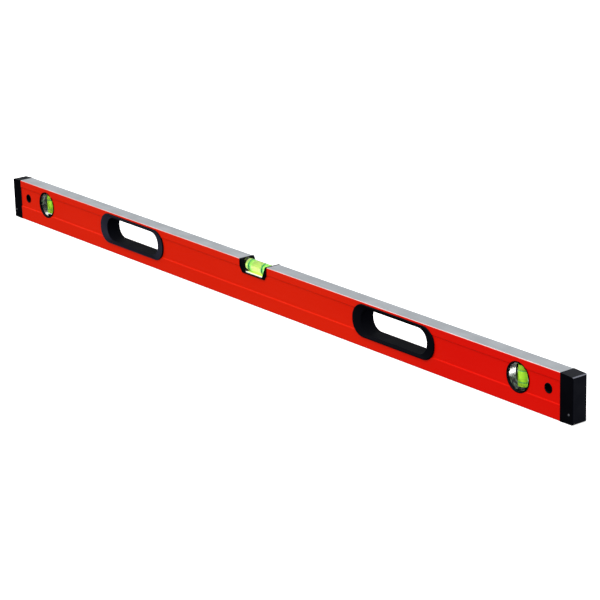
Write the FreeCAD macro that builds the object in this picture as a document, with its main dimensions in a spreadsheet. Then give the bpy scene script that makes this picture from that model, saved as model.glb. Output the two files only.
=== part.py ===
import FreeCAD, Part
import math
import os

import Sketcher

# A box-section spirit level of the nominal 1200 mm length. X runs along the beam, Y through its
# thickness with the front at -Y, Z up. The origin is the middle of the bottom working face. All
# lengths are in millimetres.

DRIVING_SIZES = [
    # The whole level
    ("level_length", 1202.0),
    ("level_height", 60.0),
    ("level_thickness", 22.6),
    ("feature_height", 35.3),  # the line that grips, plumb vials and hanging holes are centred on
    # The extruded beam
    ("edge_bevel", 0.9),
    ("band_low", 19.7),  # where the recessed band along each side starts
    ("band_high", 49.6),  # where it ends
    ("band_step", 1.0),  # height of its sloped edges
    ("band_depth", 0.8),
    ("side_wall", 1.7),
    ("face_wall", 3.0),
    ("web_bottom", 10.8),
    ("web_thickness", 1.6),
    # The end caps and their plugs
    ("cap_length", 21.0),
    ("cap_fall", 1.2),  # how far the cap's top slopes down to its outer end
    ("cap_rise", 0.5),  # how far its bottom slopes up
    ("cap_bevel", 1.1),
    ("cap_round", 1.2),
    ("cap_wall", 2.7),
    ("cap_end_wall", 3.6),
    ("cap_band", 4.4),  # height of the ribbed band round its foot
    ("cap_line", 0.3),  # depth of the line above the band
    ("cap_line_height", 0.6),
    ("stud_x", 14.9),
    ("stud_z", 12.1),
    ("stud_radius", 1.5),
    ("stud_height", 0.6),
    ("ridge_start", 8.0),
    ("ridge_width", 2.2),
    ("ridge_height", 0.6),
    ("ridge_low", 15.0),
    ("ridge_high", 45.0),
    ("plug_reach", 30.0),
    ("tongue_reach", 15.0),
    ("plug_fit", 0.1),
    ("plug_bar", 4.0),
    ("plug_window", 9.6),
    # The hand grips
    ("grip_x", 285.2),
    ("grip_length", 155.0),
    ("grip_height", 43.6),
    ("grip_round", 20.6),
    ("grip_proud", 1.5),
    ("grip_rim", 1.5),
    ("grip_dish", 2.1),
    ("grip_lip_round", 0.9),
    ("hole_length", 126.2),
    ("hole_height", 33.8),
    ("hole_round", 16.0),
    ("grip_wall", 1.8),
    ("lap_length", 2.0),
    ("lap_wall", 0.9),
    ("clip_offset", 35.0),
    ("clip_length", 10.0),
    ("clip_height", 0.3),
    ("clip_width", 0.8),
    # The hanging holes
    ("hang_x", 560.3),
    ("hang_bore", 4.7),
    ("hang_tube", 5.5),
    ("hang_lip", 6.5),
    ("hang_lip_thickness", 0.6),
    ("hang_bevel", 0.4),
    # The plumb vials
    ("plumb_x", 509.7),
    ("bezel_lip", 19.4),
    ("bezel_tube", 18.7),
    ("bezel_seat", 18.1),
    ("bezel_window", 17.4),
    ("bezel_depth", 3.0),
    ("bezel_bevel", 0.7),
    ("block_radius", 18.0),
    ("block_bevel", 0.4),
    ("plumb_bore", 7.1),
    ("plumb_top", 14.0),  # top of the chamber above the vial's centre
    ("plumb_bottom", 13.0),  # bottom of the chamber below it
    ("plumb_plug_end", 16.4),
    ("plumb_ring_gap", 14.4),
    ("plumb_bubble_radius", 6.9),
    ("plumb_bubble_height", 8.0),
    ("meniscus_radius", 12.0),
    ("meniscus_rise", 2.0),  # how far the liquid climbs the chamber wall
    # The centre vial and its housing
    ("notch_half", 29.7),
    ("notch_knee", 49.6),
    ("notch_foot_half", 24.0),
    ("notch_bottom", 41.5),
    ("housing_proud", 0.4),
    ("window_top_half", 26.8),
    ("window_floor_half", 19.0),
    ("window_floor", 43.0),
    ("catch_reach", 1.3),
    ("catch_height", 4.0),
    ("catch_width", 14.0),
    ("vial_height", 51.6),
    ("vial_radius", 8.0),
    ("vial_half", 26.4),
    ("vial_bevel", 0.8),
    ("vial_bore", 6.2),
    ("chamber_half", 22.4),
    ("vial_plug_length", 3.5),
    ("vial_ring_gap", 28.4),
    ("bubble_radius", 5.2),
    ("bubble_length", 21.0),
    ("bubble_lift", 2.4),
    ("bubble_trim", 6.1),
    ("tray_half", 18.4),
    ("tray_width", 19.0),
    ("tray_thickness", 0.5),
    ("tray_lip", 1.3),
    ("plumb_ring_width", 1.0),
    ("vial_ring_width", 2.8),
    ("ring_depth", 0.2),
    # Clearances
    ("slip", 0.1),
    ("seat_gap", 0.2),
    ("parting", 0.05),
    ("film", 0.02),
    ("cut_over", 1.0),  # how far a cutter runs past the face it opens
]

doc = FreeCAD.newDocument("spirit_level")
sheet = doc.addObject("Spreadsheet::Sheet", "Sizes")
for row, (alias, value) in enumerate(DRIVING_SIZES, start=1):
    cell = f"B{row}"
    sheet.set(f"A{row}", alias.replace("_", " "))
    sheet.set(cell, str(value))
    sheet.setAlias(cell, alias)
doc.recompute()

SIZE_NAMES = {alias for alias, _ in DRIVING_SIZES}


def in_sheet(words):
    """Writes a formula of plain size names as one that reads them from the sheet."""
    tokens = words.replace("(", " ( ").replace(")", " ) ").split()
    return " ".join(f"Sizes.{token}" if token in SIZE_NAMES else token for token in tokens)


def value_of(owner, words):
    return float(owner.evalExpression(in_sheet(words)))


def bind(owner, target, words):
    owner.setExpression(target, in_sheet(words))


# ---------------------------------------------------------------- bodies, sketches and features


def new_body(name):
    return doc.addObject("PartDesign::Body", name)


def new_sketch(body, plane, offset="0"):
    """A sketch on one of the body's origin planes, moved along the plane's normal by offset.

    Sketch axes: XY gives X, Y with normal +Z; XZ gives X, Z with normal -Y; YZ gives Y, Z with
    normal +X.
    """
    sketch = body.newObject("Sketcher::SketchObject", f"{body.Name}_{plane.lower()}_sketch")
    support = next(item for item in body.Origin.OriginFeatures if item.Role == f"{plane}_Plane")
    sketch.AttachmentSupport = [(support, "")]
    sketch.MapMode = "FlatFace"
    if offset != "0":
        bind(sketch, "AttachmentOffset.Base.z", offset)
    return sketch


def hold(sketch, kind, geometry, point, words):
    """Fixes one coordinate of a point, measured from the sketch's origin, to a formula."""
    amount = value_of(sketch, words)
    number = sketch.addConstraint(Sketcher.Constraint(kind, -1, 1, geometry, point, amount))
    bind(sketch, f"Constraints[{number}]", words)


def outline(sketch, corners):
    """A closed outline of straight edges through corners, each given as two formulas."""
    first = sketch.GeometryCount
    places = [(value_of(sketch, across), value_of(sketch, up)) for across, up in corners]
    count = len(places)
    for index, (across, up) in enumerate(places):
        next_across, next_up = places[(index + 1) % count]
        start = FreeCAD.Vector(across, up, 0)
        end = FreeCAD.Vector(next_across, next_up, 0)
        sketch.addGeometry(Part.LineSegment(start, end))
    for index in range(count):
        follower = first + (index + 1) % count
        sketch.addConstraint(Sketcher.Constraint("Coincident", first + index, 2, follower, 1))
    for index, (across, up) in enumerate(corners):
        hold(sketch, "DistanceX", first + index, 1, across)
        hold(sketch, "DistanceY", first + index, 1, up)


def rectangle(sketch, left, right, low, high):
    outline(sketch, [(left, low), (right, low), (right, high), (left, high)])


def circle(sketch, radius, across="0", up="0"):
    centre = FreeCAD.Vector(value_of(sketch, across), value_of(sketch, up), 0)
    shape = Part.Circle(centre, FreeCAD.Vector(0, 0, 1), value_of(sketch, radius))
    number = sketch.addGeometry(shape)
    hold(sketch, "DistanceX", number, 3, across)
    hold(sketch, "DistanceY", number, 3, up)
    limit = Sketcher.Constraint("Radius", number, value_of(sketch, radius))
    bind(sketch, f"Constraints[{sketch.addConstraint(limit)}]", radius)


def rounded_rectangle(sketch, length, height, corner, across="0", up="0"):
    """A rectangle with four equal round corners, centred on (across, up)."""
    first = sketch.GeometryCount
    half_x = value_of(sketch, length) / 2
    half_y = value_of(sketch, height) / 2
    radius = value_of(sketch, corner)
    middle = FreeCAD.Vector(value_of(sketch, across), value_of(sketch, up), 0)
    inner_x = half_x - radius
    inner_y = half_y - radius
    sides = [
        ((-inner_x, -half_y), (inner_x, -half_y)),
        ((half_x, -inner_y), (half_x, inner_y)),
        ((inner_x, half_y), (-inner_x, half_y)),
        ((-half_x, inner_y), (-half_x, -inner_y)),
    ]
    turns = [(inner_x, -inner_y, 270), (inner_x, inner_y, 0), (-inner_x, inner_y, 90),
             (-inner_x, -inner_y, 180)]
    for start, end in sides:
        line = Part.LineSegment(middle + FreeCAD.Vector(*start), middle + FreeCAD.Vector(*end))
        sketch.addGeometry(line)
    for x, y, degrees in turns:
        whole = Part.Circle(middle + FreeCAD.Vector(x, y, 0), FreeCAD.Vector(0, 0, 1), radius)
        begin = math.radians(degrees)
        sketch.addGeometry(Part.ArcOfCircle(whole, begin, begin + math.pi / 2))
    for index in range(4):
        side = first + index
        turn = first + 4 + index
        following = first + (index + 1) % 4
        sketch.addConstraint(Sketcher.Constraint("Tangent", side, 2, turn, 1))
        sketch.addConstraint(Sketcher.Constraint("Tangent", turn, 2, following, 1))
        if index:
            sketch.addConstraint(Sketcher.Constraint("Equal", first + 4, turn))
    for index, kind in enumerate(["Horizontal", "Vertical", "Horizontal", "Vertical"]):
        sketch.addConstraint(Sketcher.Constraint(kind, first + index))
    limit = Sketcher.Constraint("Radius", first + 4, radius)
    bind(sketch, f"Constraints[{sketch.addConstraint(limit)}]", corner)
    hold(sketch, "DistanceY", first, 1, f"{up} - ( {height} ) / 2")
    hold(sketch, "DistanceX", first + 1, 1, f"{across} + ( {length} ) / 2")
    hold(sketch, "DistanceY", first + 2, 1, f"{up} + ( {height} ) / 2")
    hold(sketch, "DistanceX", first + 3, 1, f"{across} - ( {length} ) / 2")


def feature(body, kind, sketch):
    made = body.newObject(f"PartDesign::{kind}", f"{body.Name}_{kind.lower()}")
    made.Profile = sketch
    sketch.Visibility = False
    return made


def checked(body, made, grows):
    """Recomputes and makes sure that the feature really added or removed material."""
    before = made.BaseFeature.Shape.Volume if made.BaseFeature else 0.0
    doc.recompute()
    change = made.Shape.Volume - before
    if (change > 0) != grows or abs(change) < 1e-3:
        raise RuntimeError(f"{made.Name} changed {body.Label} by {change:.4f} mm3")
    return made


def pad(body, sketch, length, symmetric=False, backwards=False):
    made = feature(body, "Pad", sketch)
    bind(made, "Length", length)
    made.SideType = "Symmetric" if symmetric else "One side"
    made.Reversed = backwards
    return checked(body, made, True)


def pocket(body, sketch, length=None, backwards=False):
    """Cuts against the sketch's normal, or right through both ways when no length is given."""
    made = feature(body, "Pocket", sketch)
    if length is None:
        made.Type = "ThroughAll"
        made.SideType = "Symmetric"
    else:
        bind(made, "Length", length)
        made.Reversed = backwards
    return checked(body, made, False)


def turned(body, sketch, axis, kind="Revolution"):
    """Turns the sketch a full circle about its own H_Axis or V_Axis."""
    made = feature(body, kind, sketch)
    made.ReferenceAxis = (sketch, [axis])
    made.Angle = 360
    return checked(body, made, kind == "Revolution")


def round_edges(body, radius, chosen):
    """Rounds the edges whose points are all chosen."""
    base = body.Tip
    names = []
    for number, edge in enumerate(base.Shape.Edges, start=1):
        if all(chosen(point) for point in edge.discretize(5)):
            names.append(f"Edge{number}")
    made = body.newObject("PartDesign::Fillet", f"{body.Name}_fillet")
    made.Base = (base, names)
    bind(made, "Radius", radius)
    return checked(body, made, False)


def place(node, across="0", up="0", half_turn=False):
    """Puts a sub-part where it belongs: moved along X and Z, and turned about Z if asked."""
    if half_turn:
        node.Placement.Rotation = FreeCAD.Rotation(FreeCAD.Vector(0, 0, 1), 180)
    bind(node, "Placement.Base.x", across)
    bind(node, "Placement.Base.z", up)
    return node


def cylinder(name, radius, length, axis, start):
    """A Part cylinder along +X, +Y or +Z that begins at start on that axis."""
    made = doc.addObject("Part::Cylinder", name)
    bind(made, "Radius", radius)
    bind(made, "Height", length)
    made.Placement.Rotation = FreeCAD.Rotation(FreeCAD.Vector(0, 0, 1), FreeCAD.Vector(*axis))
    letter = "xyz"[list(axis).index(1)]
    bind(made, f"Placement.Base.{letter}", start)
    return made


def sphere(name, radius, across="0", up="0"):
    made = doc.addObject("Part::Sphere", name)
    bind(made, "Radius", radius)
    bind(made, "Placement.Base.x", across)
    bind(made, "Placement.Base.z", up)
    return made


def combine(kind, name, first, second):
    """A Part::Cut or Part::Common of two shapes."""
    made = doc.addObject(f"Part::{kind}", name)
    made.Base = first
    made.Tool = second
    return made


def join(name, pieces):
    made = doc.addObject("Part::MultiFuse", name)
    made.Shapes = pieces
    return made


CLOSE = 1e-6  # two points this near are the same
ALONG_X = (1, 0, 0)
ALONG_Z = (0, 0, 1)
SIDES = (("left", "-"), ("right", ""))
FACES = (("front", False), ("back", True))
FLOOR_Y = "( level_thickness / 2 - band_depth )"  # the recessed band's surface, from mid-thickness


# ---------------------------------------------------------------- the beam


def draw_seats(sketch):
    """The outlines that grips and plumb bezels are let into, on one side of the beam."""
    for _, sign in SIDES:
        rounded_rectangle(
            sketch, "grip_length + 2 * seat_gap", "grip_height + 2 * seat_gap",
            "grip_round + seat_gap", f"{sign} grip_x", "feature_height")
        circle(sketch, "bezel_lip + seat_gap", f"{sign} plumb_x", "feature_height")


def draw_openings(sketch):
    """Everything that goes right through the beam."""
    for _, sign in SIDES:
        rounded_rectangle(
            sketch, "hole_length + 2 * ( grip_wall + slip )",
            "hole_height + 2 * ( grip_wall + slip )", "hole_round + grip_wall + slip",
            f"{sign} grip_x", "feature_height")
        circle(sketch, "bezel_tube + slip", f"{sign} plumb_x", "feature_height")
        circle(sketch, "hang_tube + slip", f"{sign} hang_x", "feature_height")
    outline(sketch, [
        ("- notch_half", "level_height + cut_over"),
        ("- notch_half", "notch_knee"),
        ("- notch_foot_half", "notch_bottom"),
        ("notch_foot_half", "notch_bottom"),
        ("notch_half", "notch_knee"),
        ("notch_half", "level_height + cut_over"),
    ])


def make_beam():
    """Hollow extrusion with a recessed band along both sides and a web above its lower chamber."""
    body = new_body("beam")
    section = new_sketch(body, "YZ")
    half = "level_thickness / 2"
    right_side = [
        (f"{half} - edge_bevel", "0"),
        (half, "edge_bevel"),
        (half, "band_low"),
        (FLOOR_Y, "band_low + band_step"),
        (FLOOR_Y, "band_high - band_step"),
        (half, "band_high"),
        (half, "level_height - edge_bevel"),
        (f"{half} - edge_bevel", "level_height"),
    ]
    left_side = [(f"- ( {across} )", up) for across, up in reversed(right_side)]
    outline(section, right_side + left_side)
    inner = f"( {FLOOR_Y} - side_wall )"
    rectangle(section, f"- {inner}", inner, "face_wall", "web_bottom")
    rectangle(section, f"- {inner}", inner, "web_bottom + web_thickness",
              "level_height - face_wall")
    pad(body, section, "level_length - 2 * cap_length", symmetric=True)
    openings = new_sketch(body, "XZ")
    draw_openings(openings)
    pocket(body, openings)
    for name, away in FACES:
        seats = new_sketch(body, "XZ", f"- {FLOOR_Y}" if away else FLOOR_Y)
        draw_seats(seats)
        pocket(body, seats, "band_depth + cut_over", backwards=not away)
    return place(body)


# ---------------------------------------------------------------- end caps and plugs


def draw_cap_plan(sketch, inset):
    """The cap seen from above: square where it meets the beam, round at its two outer corners."""
    length = f"( cap_length - {inset} )"
    half = f"( level_thickness / 2 - {inset} )"
    reach = value_of(sketch, length)
    side = value_of(sketch, half)
    radius = value_of(sketch, "cap_round")
    first = sketch.GeometryCount
    points = [(0, -side), (reach - radius, -side), (reach, radius - side), (reach, side - radius),
              (reach - radius, side), (0, side)]
    vectors = [FreeCAD.Vector(x, y, 0) for x, y in points]
    for start, end in ((0, 1), (2, 3), (4, 5), (5, 0)):
        sketch.addGeometry(Part.LineSegment(vectors[start], vectors[end]))
    for y, begin in ((radius - side, -math.pi / 2), (side - radius, 0)):
        whole = Part.Circle(FreeCAD.Vector(reach - radius, y, 0), FreeCAD.Vector(0, 0, 1), radius)
        sketch.addGeometry(Part.ArcOfCircle(whole, begin, begin + math.pi / 2))
    front, end, back, mouth, front_turn, back_turn = range(first, first + 6)
    for before, after in ((front, front_turn), (front_turn, end), (end, back_turn),
                          (back_turn, back)):
        sketch.addConstraint(Sketcher.Constraint("Tangent", before, 2, after, 1))
    for before, after in ((back, mouth), (mouth, front)):
        sketch.addConstraint(Sketcher.Constraint("Coincident", before, 2, after, 1))
    sketch.addConstraint(Sketcher.Constraint("Horizontal", front))
    sketch.addConstraint(Sketcher.Constraint("Horizontal", back))
    sketch.addConstraint(Sketcher.Constraint("Vertical", end))
    sketch.addConstraint(Sketcher.Constraint("Equal", front_turn, back_turn))
    limit = Sketcher.Constraint("Radius", front_turn, radius)
    bind(sketch, f"Constraints[{sketch.addConstraint(limit)}]", "cap_round")
    hold(sketch, "DistanceX", front, 1, "0")
    hold(sketch, "DistanceX", back, 2, "0")
    hold(sketch, "DistanceY", front, 1, f"- {half}")
    hold(sketch, "DistanceY", back, 2, half)
    hold(sketch, "DistanceX", end, 1, length)


def make_end_cap(name):
    """Soft cap: a tapered hollow block that butts against the beam's sawn end."""
    body = new_body(name)
    plan = new_sketch(body, "XY")
    draw_cap_plan(plan, "0")
    pad(body, plan, "level_height")
    foot_line = new_sketch(body, "XY", "cap_band")
    rectangle(foot_line, "- cut_over", "cap_length + cut_over", "- level_thickness",
              "level_thickness")
    draw_cap_plan(foot_line, "cap_line")
    pocket(body, foot_line, "cap_line_height", backwards=True)
    slopes = new_sketch(body, "XZ")
    outline(slopes, [
        ("0", "level_height"),
        ("cap_length - cap_bevel", "level_height - cap_fall"),
        ("cap_length", "level_height - cap_fall - cap_bevel"),
        ("cap_length + cut_over", "level_height - cap_fall - cap_bevel"),
        ("cap_length + cut_over", "level_height + cut_over"),
        ("0", "level_height + cut_over"),
    ])
    outline(slopes, [
        ("0", "0"),
        ("0", "- cut_over"),
        ("cap_length + cut_over", "- cut_over"),
        ("cap_length + cut_over", "cap_rise + cap_bevel"),
        ("cap_length", "cap_rise + cap_bevel"),
        ("cap_length - cap_bevel", "cap_rise"),
    ])
    pocket(body, slopes)
    studs = new_sketch(body, "XZ")
    circle(studs, "stud_radius", "stud_x", "stud_z")
    pad(body, studs, "level_thickness + 2 * stud_height", symmetric=True)
    rim_y = value_of(body, "level_thickness / 2 + stud_height")
    round_edges(body, "stud_height - slip", lambda point: abs(abs(point.y) - rim_y) < CLOSE)
    hollow = new_sketch(body, "YZ")
    wall = "( level_thickness / 2 - cap_wall )"
    rectangle(hollow, f"- {wall}", wall, "face_wall", "level_height - cap_fall - face_wall")
    pocket(body, hollow, "cap_length - cap_end_wall", backwards=True)
    groove = new_sketch(body, "YZ", "ridge_start")
    deep = f"( {wall} + ridge_height + slip )"
    rectangle(groove, f"- {deep}", deep, "ridge_low", "ridge_high")
    pocket(body, groove, "ridge_width", backwards=True)
    return body


def make_end_plug(name):
    """Hard plug: a block inside the cap, an insert in the main chamber, a tongue in the lower one."""
    body = new_body(name)
    block = new_sketch(body, "YZ")
    side = "( level_thickness / 2 - cap_wall - plug_fit )"
    rectangle(block, f"- {side}", side, "face_wall + plug_fit",
              "level_height - cap_fall - face_wall - plug_fit")
    pad(body, block, "cap_length - cap_end_wall - plug_fit")
    inner = f"( {FLOOR_Y} - side_wall - plug_fit )"
    insert = new_sketch(body, "YZ")
    rectangle(insert, f"- {inner}", inner, "web_bottom + web_thickness + plug_fit",
              "level_height - face_wall - plug_fit")
    pad(body, insert, "plug_reach", backwards=True)
    tongue = new_sketch(body, "YZ")
    rectangle(tongue, f"- {inner}", inner, "face_wall + plug_fit", "web_bottom - plug_fit")
    pad(body, tongue, "tongue_reach", backwards=True)
    ridge = new_sketch(body, "YZ", "ridge_start + plug_fit")
    ridge_side = f"( {side} + ridge_height )"
    rectangle(ridge, f"- {ridge_side}", ridge_side, "ridge_low + plug_fit",
              "ridge_high - plug_fit")
    pad(body, ridge, "ridge_width - 2 * plug_fit")
    openings = new_sketch(body, "XZ")
    circle(openings, "hang_tube + slip", "hang_x - level_length / 2 + cap_length",
           "feature_height")
    low = "( web_bottom + web_thickness + plug_bar )"
    rectangle(openings, "plug_bar - plug_reach", "- plug_bar", low, f"{low} + plug_window")
    high = "( level_height - face_wall - plug_bar )"
    rectangle(openings, "plug_bar - plug_reach", "- plug_bar", f"{high} - plug_window", high)
    pocket(body, openings)
    return body


def make_ends():
    parts = []
    for side, sign in SIDES:
        for maker, name in ((make_end_cap, "end_cap"), (make_end_plug, "end_plug")):
            node = maker(f"{side}_{name}")
            across = f"{sign} ( level_length / 2 - cap_length )"
            parts.append(place(node, across, "0", half_turn=side == "left"))
    return parts


# ---------------------------------------------------------------- hand grips


def draw_liner(sketch, wall):
    """The grip's tube outline, a given wall thickness outside the hand hole."""
    rounded_rectangle(sketch, f"hole_length + 2 * {wall}", f"hole_height + 2 * {wall}",
                      f"hole_round + {wall}")


def draw_clips(sketch, reach, spare):
    """Four short bars, above and below the hand hole, that stand out of the lapped wall."""
    inner = "( hole_height / 2 + lap_wall / 2 )"
    outer = f"( hole_height / 2 + lap_wall + {reach} )"
    for sign in ("-", ""):
        left = f"{sign} clip_offset - clip_length / 2 - {spare}"
        right = f"{sign} clip_offset + clip_length / 2 + {spare}"
        rectangle(sketch, left, right, inner, outer)
        rectangle(sketch, left, right, f"- {outer}", f"- {inner}")


def make_grip(name, has_lap):
    """One half of a grip, drawn as the front half: a dished frame and the tube behind it.

    The half with the lap carries a thinner wall past the parting plane with four clip bars on it;
    the other half is rebated to take them.
    """
    body = new_body(name)
    face = f"( {FLOOR_Y} + band_depth + grip_proud )"
    frame = new_sketch(body, "XZ", FLOOR_Y)
    rounded_rectangle(frame, "grip_length", "grip_height", "grip_round")
    pad(body, frame, "band_depth + grip_proud")
    front_y = -value_of(body, face)
    round_edges(body, "grip_lip_round", lambda point: abs(point.y - front_y) < CLOSE)
    tube = new_sketch(body, "XZ", FLOOR_Y)
    draw_liner(tube, "grip_wall")
    pad(body, tube, f"{FLOOR_Y} - parting", backwards=True)
    if has_lap:
        lap = new_sketch(body, "XZ", "parting")
        draw_liner(lap, "lap_wall")
        pad(body, lap, "lap_length + parting", backwards=True)
    hand_hole = new_sketch(body, "XZ")
    draw_liner(hand_hole, "0")
    pocket(body, hand_hole)
    rim = new_sketch(body, "XZ", face)
    rounded_rectangle(rim, "grip_length - 2 * grip_rim", "grip_height - 2 * grip_rim",
                      "grip_round - grip_rim")
    crease = new_sketch(body, "XZ", f"{face} - grip_dish")
    draw_liner(crease, "0")
    dish = feature(body, "SubtractiveLoft", rim)
    dish.Sections = [crease]
    dish.Ruled = True
    checked(body, dish, False)
    clip_start = "( lap_length - clip_width ) / 2"
    if has_lap:
        clips = new_sketch(body, "XZ", f"- {clip_start}")
        draw_clips(clips, "clip_height", "0")
        pad(body, clips, "clip_width", backwards=True)
    else:
        rebate = new_sketch(body, "XZ")
        draw_liner(rebate, "( lap_wall + parting )")
        pocket(body, rebate, "lap_length + 2 * parting", backwards=True)
        notches = new_sketch(body, "XZ", f"{clip_start} - parting")
        draw_clips(notches, "clip_height + parting", "parting")
        pocket(body, notches, "clip_width + 2 * parting", backwards=True)
    return body


def make_grips():
    parts = []
    for side, sign in SIDES:
        for face, away in FACES:
            body = make_grip(f"{side}_grip_{face}", has_lap=not away)
            parts.append(place(body, f"{sign} grip_x", "feature_height", half_turn=away))
    return parts


# ---------------------------------------------------------------- hanging-hole bushes


def make_bush(name):
    """Flanged half bush, drawn as the front half and turned about the hole's axis."""
    body = new_body(name)
    profile = new_sketch(body, "XY")
    lip_face = f"- ( {FLOOR_Y} + hang_lip_thickness )"
    outline(profile, [
        ("hang_bore", "- parting"),
        ("hang_bore", f"{lip_face} + hang_bevel"),
        ("hang_bore + hang_bevel", lip_face),
        ("hang_lip - hang_bevel", lip_face),
        ("hang_lip", f"{lip_face} + hang_bevel"),
        ("hang_lip", f"- {FLOOR_Y}"),
        ("hang_tube", f"- {FLOOR_Y}"),
        ("hang_tube", "- parting"),
    ])
    turned(body, profile, "V_Axis")
    return body


def make_bushes():
    parts = []
    for side, sign in SIDES:
        for face, away in FACES:
            body = make_bush(f"{side}_hang_bush_{face}")
            parts.append(place(body, f"{sign} hang_x", "feature_height", half_turn=away))
    return parts


# ---------------------------------------------------------------- plumb vials


def make_bezel(name):
    """Half bezel, drawn as the front half: a lip over the beam and a sleeve that seats the block."""
    body = new_body(name)
    profile = new_sketch(body, "XY")
    front = "- level_thickness / 2"
    outline(profile, [
        ("bezel_seat", "- parting"),
        ("bezel_seat", f"{front} + bezel_depth"),
        ("bezel_window", f"{front} + bezel_depth"),
        ("bezel_window", f"{front} + bezel_bevel"),
        ("bezel_window + bezel_bevel", front),
        ("bezel_lip", front),
        ("bezel_lip", f"- {FLOOR_Y}"),
        ("bezel_tube", f"- {FLOOR_Y}"),
        ("bezel_tube", "- parting"),
    ])
    turned(body, profile, "V_Axis")
    return body


def make_plumb_block(name):
    """Clear round block with an upright chamber, open at the bottom, and two ring grooves in it."""
    body = new_body(name)
    half = "( level_thickness / 2 - bezel_depth - slip )"
    profile = new_sketch(body, "XY")
    outline(profile, [
        ("0", f"- {half}"),
        ("block_radius - block_bevel", f"- {half}"),
        ("block_radius", f"block_bevel - {half}"),
        ("block_radius", f"{half} - block_bevel"),
        ("block_radius - block_bevel", half),
        ("0", half),
    ])
    turned(body, profile, "V_Axis")
    bore = new_sketch(body, "XY", "plumb_top")
    circle(bore, "plumb_bore")
    pocket(body, bore, "plumb_top + block_radius + cut_over")
    grooves = new_sketch(body, "XZ")
    for sign in ("-", ""):
        middle = f"{sign} plumb_ring_gap / 2"
        rectangle(grooves, "plumb_bore - ring_depth", "plumb_bore + ring_depth",
                  f"{middle} - plumb_ring_width / 2", f"{middle} + plumb_ring_width / 2")
    turned(body, grooves, "V_Axis", "Groove")
    return body


def make_ring_pair(name, inner, outer, gap, groove, axis):
    """Two thin index rings, one node of two separate solids, each a film narrower than its groove."""
    width = f"{groove} - 2 * film"
    rings = []
    for number, sign in enumerate(("-", ""), start=1):
        start = f"{sign} {gap} / 2 - {groove} / 2 + film"
        whole = cylinder(f"{name}_disc_{number}", outer, width, axis, start)
        middle = cylinder(f"{name}_core_{number}", inner, width, axis, start)
        rings.append(combine("Cut", f"{name}_{number}", whole, middle))
    made = doc.addObject("Part::Compound", name)
    made.Links = rings
    return made


def make_plumb_bubble(name):
    """Air at the top of the chamber, domed where it meets the liquid."""
    column = cylinder(f"{name}_column", "plumb_bubble_radius",
                      "plumb_bubble_height - slip", ALONG_Z, "plumb_top - plumb_bubble_height")
    dome = sphere(f"{name}_dome", "meniscus_radius", "0",
                  "plumb_top - plumb_bubble_height + meniscus_radius")
    return combine("Common", name, column, dome)


def make_plumb_liquid(name):
    """Liquid up to the bubble, its surface curving up where it wets the wall."""
    column = cylinder(f"{name}_column", "plumb_bore - film",
                      "plumb_bottom + plumb_top - plumb_bubble_height + meniscus_rise",
                      ALONG_Z, "film - plumb_bottom")
    dome = sphere(f"{name}_dome", "meniscus_radius", "0",
                  "plumb_top - plumb_bubble_height + meniscus_radius")
    return combine("Cut", name, column, dome)


def make_plumb_vials():
    parts = []
    for side, sign in SIDES:
        stem = f"{side}_plumb"
        for face, away in FACES:
            bezel = make_bezel(f"{stem}_bezel_{face}")
            parts.append(place(bezel, f"{sign} plumb_x", "feature_height", half_turn=away))
        plug = cylinder(f"{stem}_plug", "plumb_bore - film", "plumb_plug_end - plumb_bottom", ALONG_Z,
                        "feature_height - plumb_plug_end")
        bind(plug, "Placement.Base.x", f"{sign} plumb_x")
        parts.append(plug)
        pieces = [
            make_plumb_block(f"{stem}_block"),
            make_ring_pair(f"{stem}_rings", "plumb_bore", "plumb_bore + ring_depth - film",
                           "plumb_ring_gap", "plumb_ring_width", ALONG_Z),
            make_plumb_liquid(f"{stem}_liquid"),
            make_plumb_bubble(f"{stem}_bubble"),
        ]
        parts += [place(piece, f"{sign} plumb_x", "feature_height") for piece in pieces]
    return parts


# ---------------------------------------------------------------- centre vial


def make_housing():
    """Saddle in the beam's top: flared end walls, a thin sill, and a catch under the roof each side."""
    body = new_body("centre_vial_housing")
    half = "( notch_half - slip )"
    foot = "( notch_foot_half - slip )"
    profile = new_sketch(body, "XZ")
    outline(profile, [
        (f"- {half}", "level_height"),
        (f"- {half}", "notch_knee"),
        (f"- {foot}", "notch_bottom + slip"),
        (foot, "notch_bottom + slip"),
        (half, "notch_knee"),
        (half, "level_height"),
        ("window_top_half", "level_height"),
        ("window_floor_half", "window_floor"),
        ("- window_floor_half", "window_floor"),
        ("- window_top_half", "level_height"),
    ])
    pad(body, profile, "level_thickness + 2 * housing_proud", symmetric=True)
    catches = new_sketch(body, "XZ")
    under_roof = "( level_height - face_wall - slip )"
    for sign in ("-", ""):
        outline(catches, [
            (f"{sign} ( {half} - catch_reach / 2 )", under_roof),
            (f"{sign} ( {half} + catch_reach )", under_roof),
            (f"{sign} {half}", f"{under_roof} - catch_height"),
            (f"{sign} ( {half} - catch_reach / 2 )", f"{under_roof} - catch_height"),
        ])
    pad(body, catches, "catch_width", symmetric=True)
    socket = new_sketch(body, "YZ", "- vial_half - slip")
    circle(socket, "vial_radius + slip / 2", "0", "vial_height")
    pocket(body, socket, "2 * ( vial_half + slip )", backwards=True)
    return place(body)


def make_tray():
    """White tray under the vial with a low lip along its front and back."""
    body = new_body("centre_vial_reflector")
    section = new_sketch(body, "YZ")
    out = "tray_width / 2"
    inside = f"( {out} - tray_thickness )"
    low = "window_floor + film"
    outline(section, [
        (f"- {out}", low),
        (out, low),
        (out, f"{low} + tray_lip"),
        (inside, f"{low} + tray_lip"),
        (inside, f"{low} + tray_thickness"),
        (f"- {inside}", f"{low} + tray_thickness"),
        (f"- {inside}", f"{low} + tray_lip"),
        (f"- {out}", f"{low} + tray_lip"),
    ])
    pad(body, section, "2 * tray_half", symmetric=True)
    return place(body)


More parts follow.
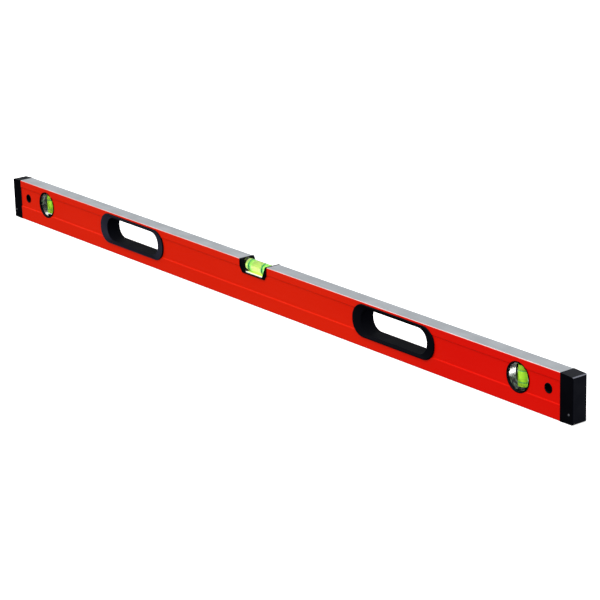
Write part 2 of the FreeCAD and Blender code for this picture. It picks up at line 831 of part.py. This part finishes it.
def make_barrel():
    """Clear barrel: closed at its left end, bored from the right, two ring grooves outside."""
    body = new_body("centre_vial_barrel")
    profile = new_sketch(body, "XY")
    corners = [
        ("- vial_half", "0"),
        ("- vial_half", "vial_radius - vial_bevel"),
        ("vial_bevel - vial_half", "vial_radius"),
    ]
    for sign in ("-", ""):
        left = f"{sign} vial_ring_gap / 2 - vial_ring_width / 2"
        right = f"{sign} vial_ring_gap / 2 + vial_ring_width / 2"
        corners += [
            (left, "vial_radius"),
            (left, "vial_radius - ring_depth"),
            (right, "vial_radius - ring_depth"),
            (right, "vial_radius"),
        ]
    corners += [
        ("vial_half - vial_bevel", "vial_radius"),
        ("vial_half", "vial_radius - vial_bevel"),
        ("vial_half", "vial_bore"),
        ("- chamber_half", "vial_bore"),
        ("- chamber_half", "0"),
    ]
    outline(profile, corners)
    turned(body, profile, "H_Axis")
    return place(body, "0", "vial_height")


def capsule(name):
    """The centre bubble's full round form before the chamber wall flattens it."""
    reach = "( bubble_length / 2 - bubble_radius )"
    pieces = [
        cylinder(f"{name}_middle", "bubble_radius", f"2 * {reach}", ALONG_X, f"- {reach}"),
        sphere(f"{name}_left", "bubble_radius", f"- {reach}", "bubble_lift"),
        sphere(f"{name}_right", "bubble_radius", reach, "bubble_lift"),
    ]
    bind(pieces[0], "Placement.Base.z", "bubble_lift")
    return join(name, pieces)


def make_centre_vial():
    stem = "centre_vial"
    plug = cylinder(f"{stem}_plug", "vial_bore - film", "vial_plug_length", ALONG_X, "chamber_half")
    bind(plug, "Placement.Base.z", "vial_height")
    rings = make_ring_pair(f"{stem}_rings", "vial_radius - ring_depth + film", "vial_radius",
                           "vial_ring_gap", "vial_ring_width", ALONG_X)
    fill = cylinder(f"{stem}_fill", "vial_bore - film", "2 * ( chamber_half - film )", ALONG_X,
                    "film - chamber_half")
    liquid = combine("Cut", f"{stem}_liquid", fill, capsule(f"{stem}_hollow"))
    wall = cylinder(f"{stem}_wall", "bubble_trim", "bubble_length + 2 * cut_over", ALONG_X,
                    "- bubble_length / 2 - cut_over")
    bubble = combine("Common", f"{stem}_bubble", capsule(f"{stem}_air"), wall)
    return [plug] + [place(piece, "0", "vial_height") for piece in (rings, liquid, bubble)]


# ---------------------------------------------------------------- build, check and write


def check(parts):
    """Stops if any object failed or any sub-part isn't a sound closed shape."""
    for item in doc.Objects:
        if "Invalid" in item.State or "Error" in item.State:
            raise RuntimeError(f"{item.Name} is {item.State}")
    for part in parts:
        if part.Shape.isNull() or not part.Shape.isValid() or not part.Shape.Solids:
            raise RuntimeError(f"{part.Label} has no sound shape")


def main():
    parts = [make_beam()]
    parts += make_ends()
    parts += make_grips()
    parts += make_bushes()
    parts += make_plumb_vials()
    parts += [make_housing(), make_tray(), make_barrel()]
    parts += make_centre_vial()
    doc.recompute()
    check(parts)
    os.makedirs("parts", exist_ok=True)
    for part in parts:
        part.Shape.exportStep(f"parts/{part.Label}.step")
        box = part.Shape.BoundBox
        print(f"{part.Label:28s} {len(part.Shape.Solids)} solid(s) {part.Shape.Volume:12.2f} mm3  "
              f"x {box.XMin:8.2f} {box.XMax:8.2f}  y {box.YMin:7.2f} {box.YMax:7.2f}  "
              f"z {box.ZMin:6.2f} {box.ZMax:6.2f}")


main()
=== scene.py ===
import math

import bmesh
import bpy
from mathutils import Matrix, Vector


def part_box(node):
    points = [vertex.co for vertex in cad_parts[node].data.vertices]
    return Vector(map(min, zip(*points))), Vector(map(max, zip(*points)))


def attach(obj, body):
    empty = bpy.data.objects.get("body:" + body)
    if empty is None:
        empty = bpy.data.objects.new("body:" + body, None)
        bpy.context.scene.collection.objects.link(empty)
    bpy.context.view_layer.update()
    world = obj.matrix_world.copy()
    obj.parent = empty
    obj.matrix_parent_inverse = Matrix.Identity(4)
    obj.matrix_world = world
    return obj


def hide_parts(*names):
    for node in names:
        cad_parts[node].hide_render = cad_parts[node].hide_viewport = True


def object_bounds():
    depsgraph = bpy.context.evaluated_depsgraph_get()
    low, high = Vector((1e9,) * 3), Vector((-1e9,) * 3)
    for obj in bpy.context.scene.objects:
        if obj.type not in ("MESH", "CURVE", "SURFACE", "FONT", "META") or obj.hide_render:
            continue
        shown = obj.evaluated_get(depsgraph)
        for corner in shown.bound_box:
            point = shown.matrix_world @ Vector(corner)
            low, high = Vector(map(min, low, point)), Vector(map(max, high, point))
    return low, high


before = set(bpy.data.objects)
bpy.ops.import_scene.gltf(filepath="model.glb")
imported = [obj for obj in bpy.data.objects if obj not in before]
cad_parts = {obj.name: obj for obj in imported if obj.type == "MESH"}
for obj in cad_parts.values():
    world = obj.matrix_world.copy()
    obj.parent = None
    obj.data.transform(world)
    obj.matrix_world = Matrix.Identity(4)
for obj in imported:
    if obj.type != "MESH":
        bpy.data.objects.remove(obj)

# A 1200 mm spirit level on a pale studio floor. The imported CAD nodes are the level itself; this script
# gives them their finishes, fills the vials with coloured liquid, and adds the floor, light and camera.
# All lengths are in metres, in the CAD's frame: X along the beam, the front at -Y, Z up.

MM = 0.001
cad_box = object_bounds()

# ---------------------------------------------------------------- places read from the frame

beam_low, beam_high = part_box("beam")
vial_low, vial_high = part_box("centre_vial_barrel")
block_low, block_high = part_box("right_plumb_block")
ring_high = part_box("centre_vial_rings")[1]
tray_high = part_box("centre_vial_reflector")[1]
column_low, column_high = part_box("right_plumb_liquid")
filling_low, filling_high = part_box("centre_vial_liquid")

VIAL_AXIS_Z = (vial_low.z + vial_high.z) / 2
PLUMB_X = (block_low.x + block_high.x) / 2
FEATURE_Z = (block_low.z + block_high.z) / 2
BLOCK_RADIUS = (block_high.x - block_low.x) / 2
RING_WIDTH = 2.8 * MM
RING_X = ring_high.x - RING_WIDTH / 2
RING_GLOW = 5.0 * MM  # how far from a ring's middle the liquid takes on its colour
RING_DEPTH = 0.2 * MM  # how deep the rings are let into the acrylic

EDGE_BEVEL = 0.9 * MM  # the bevel along the beam's four long edges
TOP_BARE = 0.4 * EDGE_BEVEL  # how far below the top face the coat ends
FILM = 0.02 * MM  # the gap between a chamber's wall and what fills it
WALL_SLACK = 0.05 * MM  # added to a wall's radius so that the wall itself counts as inside it
PLUMB_TOP = 14.0 * MM  # top of the plumb vial's chamber above its centre
BORE = column_high.x - PLUMB_X + FILM
VIAL_BORE = filling_high.z - VIAL_AXIS_Z + FILM

# ---------------------------------------------------------------- building node trees


class Finish:
    """A material and its node tree. Every value may be a number, a colour or another node's socket."""

    def __init__(self, name):
        self.material = bpy.data.materials.new(name)
        self.material.use_nodes = True
        self.tree = self.material.node_tree
        self.tree.nodes.clear()
        self.output = self.tree.nodes.new("ShaderNodeOutputMaterial")
        self.place = self.add("ShaderNodeTexCoord").outputs["Object"]

    def add(self, kind, inputs=None, **settings):
        node = self.tree.nodes.new(kind)
        for key, value in settings.items():
            setattr(node, key, value)
        for key, value in (inputs or {}).items():
            self.feed(node.inputs[key], value)
        return node

    def feed(self, socket, value):
        if isinstance(value, bpy.types.NodeSocket):
            self.tree.links.new(value, socket)
        elif socket.type == "RGBA" and len(value) == 3:
            socket.default_value = (*value, 1.0)
        else:
            socket.default_value = value

    def math(self, operation, *values, clamp=False):
        node = self.add("ShaderNodeMath", operation=operation, use_clamp=clamp)
        for socket, value in zip(node.inputs, values):
            self.feed(socket, value)
        return node.outputs[0]

    def reach(self, across, up):
        """The distance from an axis to a point that lies across and up from it."""
        squares = self.math("MULTIPLY_ADD", across, across, self.math("MULTIPLY", up, up))
        return self.math("SQRT", squares)

    def split(self, vector):
        return self.add("ShaderNodeSeparateXYZ", {0: vector}).outputs

    def ramp(self, value, start, end, low=0.0, high=1.0):
        """Goes smoothly from low to high as value goes from start to end."""
        node = self.add(
            "ShaderNodeMapRange",
            {"Value": value, "From Min": start, "From Max": end, "To Min": low, "To Max": high},
            interpolation_type="SMOOTHSTEP",
        )
        return node.outputs[0]

    def mix(self, factor, low, high):
        node = self.add("ShaderNodeMix", data_type="RGBA")
        self.feed(node.inputs[0], factor)
        self.feed(node.inputs[6], low)
        self.feed(node.inputs[7], high)
        return node.outputs[2]

    def noise(self, size, detail=2.0, stretch=(1.0, 1.0, 1.0)):
        """Cloudy noise with lumps about size metres across, lengthened along X, Y and Z by stretch."""
        scale = tuple(1.0 / (size * s) for s in stretch)
        mapped = self.add("ShaderNodeMapping", {"Vector": self.place, "Scale": scale}).outputs[0]
        return self.add(
            "ShaderNodeTexNoise", {"Vector": mapped, "Scale": 1.0, "Detail": detail}
        ).outputs["Fac"]

    def bump(self, height, depth):
        """A surface raised by up to depth metres where height is 1."""
        return self.add(
            "ShaderNodeBump", {"Height": height, "Distance": depth, "Strength": 1.0}
        ).outputs[0]

    def principled(self, **inputs):
        names = {key.replace("_", " "): value for key, value in inputs.items()}
        return self.add("ShaderNodeBsdfPrincipled", names).outputs[0]

    def mix_shader(self, factor, first, second):
        node = self.add("ShaderNodeMixShader", {0: factor, 1: first, 2: second})
        return node.outputs[0]

    def done(self, surface):
        self.tree.links.new(surface, self.output.inputs["Surface"])
        return self.material


# ---------------------------------------------------------------- finishes


def coated_beam():
    """Orange-red powder coat on the sides, and bare milled aluminium on the top and bottom faces.

    The coat ends part-way up the top bevel, and covers the bottom bevel. Just under its top edge it is
    painted pale pink, a painted highlight. It is more orange towards the left end, a painted glare, and
    redder towards the right end.
    """
    finish = Finish("powder_coat_and_milled_face")
    along, _, height = finish.split(finish.place)
    ragged = finish.noise(1.6 * MM, 3.0)
    top_wander, bottom_wander, feathered = 0.3 * MM, 0.25 * MM, 0.08 * MM
    top_edge = finish.math("MULTIPLY_ADD", ragged, top_wander, TOP_BARE - top_wander / 2)
    under_top = finish.math("SUBTRACT", finish.math("SUBTRACT", beam_high.z, height), top_edge)
    bottom_edge = finish.math("MULTIPLY", ragged, bottom_wander)
    over_bottom = finish.math("SUBTRACT", finish.math("SUBTRACT", height, beam_low.z), bottom_edge)
    coated = finish.ramp(finish.math("MINIMUM", under_top, over_bottom), 0.0, feathered)

    patches = finish.noise(60 * MM, 3.0, (2.5, 1.0, 1.0))
    # Painted glare: the coat is more orange towards the left end and redder towards the right.
    left_glare_fade = finish.ramp(along, 0.1, 0.45)
    red = finish.mix(
        patches,
        finish.mix(left_glare_fade, (0.68, 0.0095, 0.0004), (0.68, 0.0020, 0.0003)),
        finish.mix(left_glare_fade, (0.74, 0.0140, 0.0005), (0.72, 0.0035, 0.0004)),
    )
    # Painted highlight: a pale pink band just under the coat's top edge, along the top bevel.
    bevel_highlight = finish.ramp(under_top, 0.1 * MM, 0.5 * MM, 0.75, 0.0)
    red = finish.mix(bevel_highlight, red, (0.80, 0.36, 0.29))
    peel = finish.noise(1.1 * MM, 2.0)
    coat = finish.principled(
        Base_Color=red,
        Roughness=finish.ramp(patches, 0.3, 0.7, 0.36, 0.44),
        Normal=finish.bump(peel, 0.012 * MM),
        Specular_IOR_Level=0.12,
        Specular_Tint=(1.0, 0.40, 0.12, 1.0),
    )

    scuffs = finish.noise(14 * MM, 4.0, (2.0, 1.0, 1.0))
    lines = finish.noise(0.35 * MM, 2.0, (1.0, 60.0, 60.0))
    metal = finish.principled(
        Base_Color=finish.mix(scuffs, (0.76, 0.79, 0.82), (0.86, 0.88, 0.91)),
        Metallic=1.0,
        Roughness=finish.ramp(scuffs, 0.3, 0.7, 0.34, 0.46),
        Normal=finish.bump(lines, 0.004 * MM),
    )
    return finish.done(finish.mix_shader(coated, metal, coat))


def moulded(name, colour, roughness, grain, depth, specular, highlight_beyond=None):
    """Black moulded plastic or rubber with an eroded-die grain.

    What stands further than the given distance from the beam's middle plane is painted a paler grey, a
    painted highlight on what stands proud.
    """
    finish = Finish(name)
    cloud = finish.noise(25 * MM, 3.0)
    fine = finish.noise(grain, 3.0)
    lighter = tuple(channel * 1.5 + 0.0006 for channel in colour)
    shade = finish.mix(cloud, colour, lighter)
    # Painted highlight: a paler grey on whatever stands proud of the given distance.
    if highlight_beyond is not None:
        out = finish.math("ABSOLUTE", finish.split(finish.place)[1])
        proud_highlight = finish.ramp(out, highlight_beyond, highlight_beyond + 0.3 * MM)
        shade = finish.mix(proud_highlight, shade, (0.085, 0.085, 0.095))
    return finish.done(
        finish.principled(
            Base_Color=shade,
            Roughness=finish.ramp(cloud, 0.3, 0.7, roughness - 0.05, roughness + 0.05),
            Normal=finish.bump(fine, depth),
            Specular_IOR_Level=specular,
            Specular_Tint=(0.70, 0.74, 1.0, 1.0),
        )
    )


def white_tray():
    """White gloss plastic. Its trough is painted yellow-green, standing in for light through the vial,
    and its lips are not; all of it glows a little, a painted brightness.
    """
    finish = Finish("reflector_white")
    cloud = finish.noise(6 * MM, 2.0)
    out = finish.math("ABSOLUTE", finish.split(finish.place)[1])
    lip_start, lip_full = tray_high.y - 0.9 * MM, tray_high.y - 0.4 * MM
    lip = finish.ramp(out, lip_start, lip_full)
    white = finish.mix(cloud, (0.90, 0.91, 0.86), (0.95, 0.95, 0.90))
    return finish.done(
        finish.principled(
            Base_Color=finish.mix(lip, (0.62, 0.80, 0.16), white),
            Roughness=0.22,
            Normal=finish.bump(finish.noise(0.8 * MM), 0.004 * MM),
            # Painted light: the trough glows yellow-green and the lips pale white.
            Emission_Color=finish.mix(lip, (0.62, 0.90, 0.12), (1.0, 1.0, 0.85)),
            Emission_Strength=0.35,
        )
    )


def ring_paint():
    finish = Finish("index_ring_green")
    cloud = finish.noise(1.5 * MM, 2.0)
    return finish.done(
        finish.principled(
            Base_Color=finish.mix(cloud, (0.0, 0.22, 0.05), (0.004, 0.32, 0.09)),
            Roughness=0.45,
        )
    )


ACRYLIC_IOR = 1.49
PLUMB_IOR = 1.22  # lower than real acrylic, which would draw the liquid column too far to one side


def acrylic(name, index, wetted, painted_reflection=None):
    """Clear acrylic.

    wetted(finish) is 1 on the walls that touch the liquid, which bends light as the acrylic does.
    If a last mask is given, it is 1 where the outer wall is drawn as dark and grey streaks instead of
    glass, a painted reflection.
    """
    finish = Finish(name)
    cloud = finish.noise(8 * MM, 2.0)
    outside = finish.add(
        "ShaderNodeBsdfGlass",
        {
            "Color": finish.mix(cloud, (0.95, 0.98, 0.95), (0.985, 1.0, 0.985)),
            "Roughness": 0.0,
            "IOR": index,
        },
    ).outputs[0]
    inside = finish.add("ShaderNodeBsdfTransparent", {"Color": (1.0, 1.0, 1.0)}).outputs[0]
    if painted_reflection is not None:
        # Painted reflection: dark and grey streaks drawn on the outer wall instead of glass.
        streaks = finish.ramp(finish.noise(4.0 * MM, 1.0, (1.0, 0.8, 2.0)), 0.48, 0.62)
        reflection_streaks = finish.principled(
            Base_Color=finish.mix(streaks, (0.002, 0.003, 0.003), (0.20, 0.25, 0.23)),
            Roughness=0.5,
        )
        outside = finish.mix_shader(painted_reflection(finish), outside, reflection_streaks)
    return finish.done(finish.mix_shader(wetted(finish), outside, inside))


def painted_reflection_wall(finish):
    """1 where a plumb block's round wall shows painted reflection streaks: all of it but a clear sector
    that lies differently on each side.
    """
    x, _, z = finish.split(finish.place)
    side = finish.math("SIGN", x)
    across = finish.math("SUBTRACT", x, finish.math("MULTIPLY", side, PLUMB_X))
    up = finish.math("SUBTRACT", z, FEATURE_Z)
    reach = finish.reach(across, up)
    wall_start = BLOCK_RADIUS - 0.3 * MM
    wall = finish.math("GREATER_THAN", reach, wall_start)
    slant = finish.math("DIVIDE", up, reach)
    bright_at = finish.ramp(side, -1.0, 1.0, -0.55, 0.0)
    off = finish.math("ABSOLUTE", finish.math("SUBTRACT", slant, bright_at))
    wobble = finish.math("MULTIPLY_ADD", finish.noise(3 * MM, 2.0, (1.0, 1.0, 1.5)), 1.0, -0.5)
    half_width = finish.ramp(side, -1.0, 1.0, 0.40, 0.22)
    past_clear_sector = finish.math("SUBTRACT", finish.math("ADD", off, wobble), half_width)
    # 1 outside the clear sector, where the painted reflection streaks go.
    streaked = finish.ramp(past_clear_sector, 0.0, 0.08)
    return finish.math("MULTIPLY", wall, streaked)


def near_plumb_axis(radius):
    """A mask for acrylic: 1 within radius of either plumb vial's axis."""

    def mask(finish):
        x, y, _ = finish.split(finish.place)
        across = finish.math("SUBTRACT", finish.math("ABSOLUTE", x), PLUMB_X)
        return finish.math("LESS_THAN", finish.reach(across, y), radius)

    return mask


def near_vial_axis(radius):
    """A mask for acrylic: 1 within radius of the centre vial's axis."""

    def mask(finish):
        _, y, z = finish.split(finish.place)
        above = finish.math("SUBTRACT", z, VIAL_AXIS_Z)
        return finish.math("LESS_THAN", finish.reach(above, y), radius)

    return mask


def liquid(name, tint, dim, bright, cloudiness, painted_glow=0.0, clear_at=None):
    """Fluorescent yellow-green spirit: it tints what is seen through it and glows a little from within,
    a painted glow standing in for its fluorescence.

    Next to the centre vial's index rings it takes on their colour. It is clearest from the height
    clear_at up, where the bubble lies.
    """
    finish = Finish(name)
    cloud = finish.noise(5 * MM, 2.0)
    x, _, z = finish.split(finish.place)
    if clear_at is not None:
        clearing = 3 * MM
        cloudiness = finish.ramp(z, clear_at - clearing, clear_at, cloudiness, 0.3)
    along = finish.math("ABSOLUTE", x)
    from_ring = finish.math("ABSOLUTE", finish.math("SUBTRACT", along, RING_X))
    near_ring = finish.ramp(from_ring, RING_GLOW / 2, RING_GLOW, 0.8, 0.0)
    clear = finish.add("ShaderNodeBsdfTransparent", {"Color": tint}).outputs[0]
    shade = finish.mix(near_ring, finish.mix(cloud, dim, bright), (0.20, 0.92, 0.30))
    # Painted glow: a constant emission in the spirit's own colour.
    glow = finish.principled(
        Base_Color=shade,
        Roughness=1.0,
        Specular_IOR_Level=0.0,
        Emission_Color=shade,
        Emission_Strength=painted_glow,
    )
    return finish.done(finish.mix_shader(cloudiness, clear, glow))


def air():
    """A bubble: pale grey, with a painted dark outline, painted shade where its wall turns away."""
    finish = Finish("bubble_air")
    cloud = finish.noise(4 * MM, 2.0)
    rim = finish.add("ShaderNodeLayerWeight", {"Blend": 0.35}).outputs["Facing"]
    # Painted shade: darker towards the bubble's turned-away rim.
    shade = finish.mix(finish.ramp(rim, 0.15, 0.6), (0.80, 0.86, 0.70), (0.02, 0.035, 0.004))
    wall = finish.principled(Base_Color=shade, Roughness=0.15, Specular_IOR_Level=0.5)
    clear = finish.add(
        "ShaderNodeBsdfTransparent", {"Color": finish.mix(cloud, (0.96, 0.99, 0.94), (1.0, 1.0, 1.0))}
    ).outputs[0]
    return finish.done(finish.mix_shader(finish.ramp(rim, 0.1, 0.5, 0.5, 0.95), clear, wall))


def floor_finish():
    """A pale sweep, lit from under as well, so that shadows on it stay faint."""
    finish = Finish("pale_floor")
    cloud = finish.noise(0.4, 3.0)
    return finish.done(
        finish.principled(
            Base_Color=finish.mix(cloud, (0.90, 0.90, 0.90), (0.92, 0.92, 0.92)),
            Roughness=0.9,
            Specular_IOR_Level=0.1,
            Emission_Color=(1.0, 1.0, 1.0),
            Emission_Strength=0.5,
        )
    )


# ---------------------------------------------------------------- the CAD nodes' finishes

grip_black = moulded(
    "grip_black",
    colour=(0.0012, 0.0013, 0.0024),
    roughness=0.66,
    grain=0.5 * MM,
    depth=0.02 * MM,
    specular=0.08,
)
cap_black = moulded(
    "cap_rubber",
    colour=(0.0004, 0.0004, 0.0010),
    roughness=0.55,
    grain=0.7 * MM,
    depth=0.03 * MM,
    specular=0.12,
    highlight_beyond=beam_high.y + 0.1 * MM,
)
hard_black = moulded(
    "hard_black",
    colour=(0.0008, 0.0008, 0.0014),
    roughness=0.50,
    grain=0.4 * MM,
    depth=0.006 * MM,
    specular=0.10,
)
plumb_acrylic = acrylic(
    "plumb_acrylic", PLUMB_IOR, near_plumb_axis(BORE + RING_DEPTH + WALL_SLACK), painted_reflection_wall
)
vial_acrylic = acrylic(
    "vial_acrylic", ACRYLIC_IOR, near_vial_axis(VIAL_BORE + RING_DEPTH + WALL_SLACK)
)
spirit = liquid(
    "vial_spirit",
    tint=(0.75, 0.95, 0.32),
    dim=(0.80, 0.98, 0.26),
    bright=(0.94, 1.0, 0.46),
    cloudiness=0.85,
    painted_glow=0.35,
    clear_at=VIAL_AXIS_Z + 3 * MM,
)
plumb_spirit = liquid(
    "plumb_spirit",
    tint=(0.60, 0.90, 0.20),
    dim=(0.48, 0.82, 0.05),
    bright=(0.56, 0.90, 0.08),
    cloudiness=0.5,
)

FINISHES = {
    "beam": coated_beam(),
    "centre_vial_housing": hard_black,
    "centre_vial_reflector": white_tray(),
    "centre_vial_barrel": vial_acrylic,
    "centre_vial_plug": vial_acrylic,
    "centre_vial_rings": ring_paint(),
    "centre_vial_liquid": spirit,
    "centre_vial_bubble": air(),
}
for side in ("left", "right"):
    FINISHES[f"{side}_end_cap"] = cap_black
    FINISHES[f"{side}_end_plug"] = hard_black
    FINISHES[f"{side}_plumb_block"] = plumb_acrylic
    FINISHES[f"{side}_plumb_plug"] = plumb_acrylic
    FINISHES[f"{side}_plumb_rings"] = FINISHES["centre_vial_rings"]
    FINISHES[f"{side}_plumb_liquid"] = plumb_spirit
    FINISHES[f"{side}_plumb_bubble"] = FINISHES["centre_vial_bubble"]
    for half in ("front", "back"):
        FINISHES[f"{side}_grip_{half}"] = grip_black
        FINISHES[f"{side}_hang_bush_{half}"] = hard_black
        FINISHES[f"{side}_plumb_bezel_{half}"] = hard_black

for name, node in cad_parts.items():
    for material_slot in node.material_slots:
        material_slot.material = FINISHES[name]

# ---------------------------------------------------------------- the liquid in the vials


def turned(name, profile, axis_turn, centre, steps=96):
    """A closed solid of revolution from (distance along the axis, radius) points.

    Its axis is X, turned by axis_turn and moved to centre.
    """
    shape = bmesh.new()
    rings = []
    for along, radius in profile:
        if radius == 0.0:
            rings.append([shape.verts.new((along, 0.0, 0.0))] * steps)
            continue
        rings.append(
            [
                shape.verts.new((along, radius * math.cos(angle), radius * math.sin(angle)))
                for angle in (2 * math.pi * step / steps for step in range(steps))
            ]
        )
    for first, second in zip(rings, rings[1:]):
        for step in range(steps):
            corners = [first[step - 1], second[step - 1], second[step], first[step]]
            shape.faces.new(list(dict.fromkeys(corners)))
    bmesh.ops.recalc_face_normals(shape, faces=shape.faces)
    for face in shape.faces:
        face.smooth = True
    mesh = bpy.data.meshes.new(name)
    shape.to_mesh(mesh)
    shape.free()
    mesh.transform(Matrix.Translation(centre) @ axis_turn)
    piece = bpy.data.objects.new(name, mesh)
    bpy.context.scene.collection.objects.link(piece)
    return piece


def filled(name, node, finish, half_length, radius, axis_turn, centre):
    """The liquid that fills a vial's chamber, bubble and all, with its corners rounded."""
    corner = 0.4 * MM
    arc_steps = 4
    arc = [
        (half_length - corner + corner * math.sin(angle), radius - corner + corner * math.cos(angle))
        for angle in (math.pi / 2 * step / arc_steps for step in range(arc_steps + 1))
    ]
    right = arc + [(half_length, 0.0)]
    left = [(-along, reach) for along, reach in reversed(right)]
    piece = turned(name, left + right, axis_turn, centre)
    piece.data.materials.append(finish)
    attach(piece, "level")
    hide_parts(node)


no_turn = Matrix.Identity(4)
upright = Matrix.Rotation(-math.pi / 2, 4, "Y")
filled(
    "centre_vial_fill",
    "centre_vial_liquid",
    spirit,
    (filling_high.x - filling_low.x) / 2,
    filling_high.z - VIAL_AXIS_Z,
    no_turn,
    Vector((0.0, 0.0, VIAL_AXIS_Z)),
)
column_top = FEATURE_Z + PLUMB_TOP - FILM
for side, sign in (("left", -1), ("right", 1)):
    filled(
        f"{side}_plumb_fill",
        f"{side}_plumb_liquid",
        plumb_spirit,
        (column_top - column_low.z) / 2,
        BORE - FILM,
        upright,
        Vector((sign * PLUMB_X, 0.0, (column_top + column_low.z) / 2)),
    )

# ---------------------------------------------------------------- floor, light and camera

FLOOR_HALF = 30.0
FLOOR_GAP = 0.1 * MM
shape = bmesh.new()
bmesh.ops.create_grid(shape, x_segments=8, y_segments=8, size=FLOOR_HALF)
floor_mesh = bpy.data.meshes.new("floor")
shape.to_mesh(floor_mesh)
shape.free()
floor = bpy.data.objects.new("floor", floor_mesh)
bpy.context.scene.collection.objects.link(floor)
floor.location.z = cad_box[0].z - FLOOR_GAP
floor_mesh.materials.append(floor_finish())
floor.visible_glossy = False
floor.visible_diffuse = False


def studio_dome():
    """White to the camera, a soft dome that lights, and a darker one in reflections."""
    world = bpy.data.worlds.new("studio")
    world.use_nodes = True
    world.cycles.sampling_method = "NONE"
    bpy.context.scene.world = world
    tree = world.node_tree
    nodes, links = tree.nodes, tree.links
    nodes.clear()
    direction = nodes.new("ShaderNodeTexCoord").outputs["Generated"]
    split = nodes.new("ShaderNodeSeparateXYZ")
    links.new(direction, split.inputs[0])
    rays = nodes.new("ShaderNodeLightPath").outputs

    def ramp(value, start, end, low, high):
        node = nodes.new("ShaderNodeMapRange")
        node.interpolation_type = "SMOOTHSTEP"
        for socket, amount in zip(list(node.inputs)[1:5], (start, end, low, high)):
            socket.default_value = amount
        links.new(value, node.inputs["Value"])
        return node.outputs[0]

    def background(colour, strength):
        node = nodes.new("ShaderNodeBackground")
        node.inputs["Color"].default_value = (*colour, 1.0)
        if isinstance(strength, float):
            node.inputs["Strength"].default_value = strength
        else:
            links.new(strength, node.inputs["Strength"])
        return node.outputs[0]

    def mixed(factor, first, second):
        node = nodes.new("ShaderNodeMixShader")
        for socket, source in zip(node.inputs, (factor, first, second)):
            links.new(source, socket)
        return node.outputs[0]

    def either(first, second):
        node = nodes.new("ShaderNodeMath")
        node.operation = "MAXIMUM"
        links.new(first, node.inputs[0])
        links.new(second, node.inputs[1])
        return node.outputs[0]

    lighting = background((1.0, 1.0, 1.0), ramp(split.outputs[2], -0.25, 0.30, 0.42, 0.90))
    below = mixed(
        ramp(split.outputs[0], -0.2, 0.7, 0.0, 1.0),
        background((1.0, 1.0, 1.0), 0.02),
        background((0.5, 0.6, 1.0), 0.26),
    )
    mirrored = mixed(
        ramp(split.outputs[2], -0.12, 0.22, 0.0, 1.0), below, background((0.95, 0.98, 1.0), 0.5)
    )
    backdrop = background((1.0, 1.0, 1.0), 1.0)
    seen = either(rays["Is Camera Ray"], rays["Is Transmission Ray"])
    lit_or_mirrored = mixed(rays["Is Glossy Ray"], lighting, mirrored)
    output = nodes.new("ShaderNodeOutputWorld")
    links.new(mixed(seen, lit_or_mirrored, backdrop), output.inputs["Surface"])


def aimed(name, data, at, target):
    item = bpy.data.objects.new(name, data)
    bpy.context.scene.collection.objects.link(item)
    item.location = at
    item.rotation_mode = "QUATERNION"
    item.rotation_quaternion = (Vector(target) - Vector(at)).to_track_quat("-Z", "Y")
    return item


def sun(name, strength, spread, towards):
    light = bpy.data.lights.new(name, "SUN")
    light.energy = strength
    light.angle = math.radians(spread)
    aimed(name, light, (0.0, 0.0, 2.0), Vector((0.0, 0.0, 2.0)) + Vector(towards))


def softbox(name, power, size, at, target, pieces, colour=(1.0, 1.0, 1.0)):
    """A panel that shows only as a highlight, and only on the pieces whose names end as given."""
    light = bpy.data.lights.new(name, "AREA")
    light.shape = "RECTANGLE"
    light.size, light.size_y = size
    light.energy = power
    light.color = colour
    lamp = aimed(name, light, at, target)
    lamp.visible_camera = False
    lamp.visible_transmission = False
    lamp.visible_diffuse = False
    lit = bpy.data.collections.new(name)
    for node_name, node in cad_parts.items():
        if node_name.endswith(pieces):
            lit.objects.link(node)
    lamp.light_linking.receiver_collection = lit
    lamp.light_linking.blocker_collection = lit


studio_dome()
sun("overhead_key", 2.2, 60.0, (0.10, 0.55, -1.0))
softbox(
    "crescent_box",
    power=24.0,
    size=(0.6, 0.4),
    at=(-1.2, -1.05, -0.36),
    target=(-0.36, 0.0, 0.035),
    pieces=("left_grip_front", "left_grip_back"),
    colour=(0.7, 0.7, 1.0),
)
softbox(
    "end_bevel_box",
    power=70.0,
    size=(0.5, 0.5),
    at=(1.0, 0.85, 0.9),
    target=(0.6, 0.0, 0.05),
    pieces=("end_cap",),
)

SENSOR_WIDTH = 36.0
FOCAL_LENGTH = 141.572
CAMERA_AT = Vector((2.4002, -1.8034, 0.9756))
CAMERA_YAW = -0.90893
CAMERA_PITCH = -0.31289
CAMERA_ROLL = -0.0253
camera_data = bpy.data.cameras.new("camera")
camera_data.lens = FOCAL_LENGTH
camera_data.sensor_width = SENSOR_WIDTH
camera_data.clip_start = 0.05
camera_data.clip_end = 100.0
camera = bpy.data.objects.new("camera", camera_data)
bpy.context.scene.collection.objects.link(camera)
turn = (
    Matrix.Rotation(-CAMERA_YAW, 4, "Z")
    @ Matrix.Rotation(math.pi / 2 + CAMERA_PITCH, 4, "X")
    @ Matrix.Rotation(CAMERA_ROLL, 4, "Z")
)
camera.matrix_world = Matrix.Translation(CAMERA_AT) @ turn
bpy.context.scene.camera = camera
bpy.context.scene.view_settings.view_transform = "Standard"
